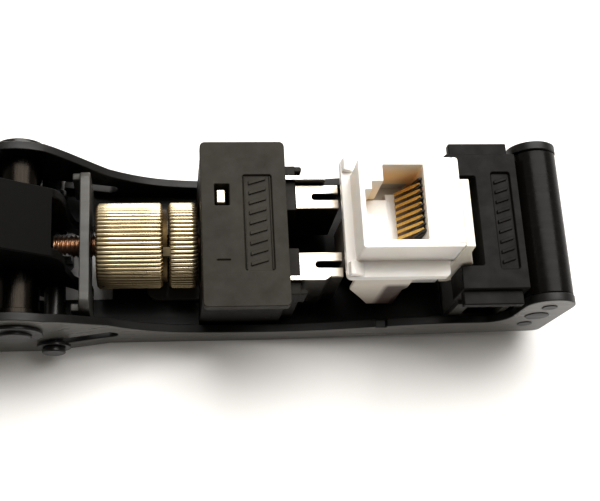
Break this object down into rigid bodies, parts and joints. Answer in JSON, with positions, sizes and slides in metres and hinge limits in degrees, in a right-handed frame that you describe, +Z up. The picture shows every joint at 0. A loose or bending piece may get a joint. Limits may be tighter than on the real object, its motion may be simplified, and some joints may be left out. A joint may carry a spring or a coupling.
{
  "type": "punch down tool",
  "caption": "Plier type keystone jack punch down tool: side plate frame, levered ram with knurled adjuster, bladed moving die, fixed die and loaded jack.",
  "frame": {"origin": "bottom centre of the whole tool at rest, on the table, in the middle plane of the frame", "axes": "+X towards the nose and the fixed die, -X towards the handles, +Y to the back side plate, +Z up from the table; the jack's plug opening looks up"},
  "size_m": [0.2276, 0.0326, 0.0988],
  "materials": {
    "plate_black": "satin black coated sheet steel",
    "nose_black": "blued black bar, satin",
    "black_plastic": "charcoal moulded nylon",
    "fixed_plastic": "charcoal moulded nylon, slightly glossy",
    "steel": "turned and pressed steel",
    "dark_steel": "oxide black steel",
    "blade_steel": "ground bright steel",
    "stud_copper": "copper coloured plated thread",
    "knurled_brass": "pale nickel brass with a straight knurl",
    "grip_rubber": "soft black sleeve",
    "jack_white": "white moulded plastic",
    "jack_cream": "warm white moulded plastic",
    "contact_gold": "gold plated spring wire",
    "contact_tin": "tin plated contact"
  },
  "bodies": {
    "frame": {"side_plate_front": "plate_black", "side_plate_back": "plate_black", "base_plate": "plate_black", "nose_block": "nose_black", "nose_rivets": "dark_steel", "die_cradle": "dark_steel", "fixed_die": "fixed_plastic", "fixed_die_screws": "steel", "pivot_pin": "dark_steel", "pivot_washer": "dark_steel", "pivot_clip": "dark_steel", "pivot_spacers": "steel", "fixed_handle": "plate_black", "handle_rivets": "dark_steel", "fixed_grip": "grip_rubber", "return_spring": "steel"},
    "handle": {"moving_handle": "plate_black", "moving_grip": "grip_rubber"},
    "ram": {"cross_pin": "dark_steel", "cross_pin_clips": "dark_steel", "drive_stud": "stud_copper", "guide_plate": "dark_steel"},
    "adjuster": {"adjuster_barrel": "knurled_brass"},
    "ring": {"lock_ring": "knurled_brass"},
    "die_slide": {"die_carriage": "dark_steel", "moving_die": "black_plastic", "die_retainer": "steel", "punch_blades": "blade_steel", "cutting_blades": "blade_steel"},
    "jack": {"jack_housing": "jack_white", "jack_latch": "jack_white", "jack_contacts": "contact_gold", "jack_wiring_block": "jack_cream", "jack_wiring_contacts": "contact_tin"}
  },
  "joints": [
    {"name": "handle_swing", "type": "hinge", "parent": "frame", "child": "handle", "pos_m": [0.02722, 0, 0.013], "axis": [0, -1, 0], "range_deg": [0, 25], "stiffness_Nm_per_rad": 0.2, "springref_deg": -28.65},
    {"name": "ram_slide", "type": "slide", "parent": "frame", "child": "ram", "axis": [1, 0, 0], "range_m": [0, 0.007]},
    {"name": "adjuster_turn", "type": "hinge", "parent": "ram", "child": "adjuster", "pos_m": [0.04423, 0, 0.0106], "axis": [1, 0, 0], "range_deg": [-180, 180]},
    {"name": "die_advance", "type": "slide", "parent": "ram", "child": "die_slide", "axis": [1, 0, 0], "range_m": [-0.00035, 0.00035]},
    {"name": "lock_ring_turn", "type": "hinge", "parent": "ram", "child": "ring", "pos_m": [0.05323, 0, 0.0106], "axis": [1, 0, 0], "range_deg": [-180, 180]},
    {"name": "jack_lift", "type": "slide", "parent": "frame", "child": "jack", "axis": [0, 0, 1], "range_m": [0, 0.035]}
  ],
  "couplings": [
    {"joint": "ram_slide", "follows": "handle_swing", "m_per_rad": 0.016043},
    {"joint": "adjuster_turn", "follows": "die_advance", "rad_per_m": 8976}
  ]
}
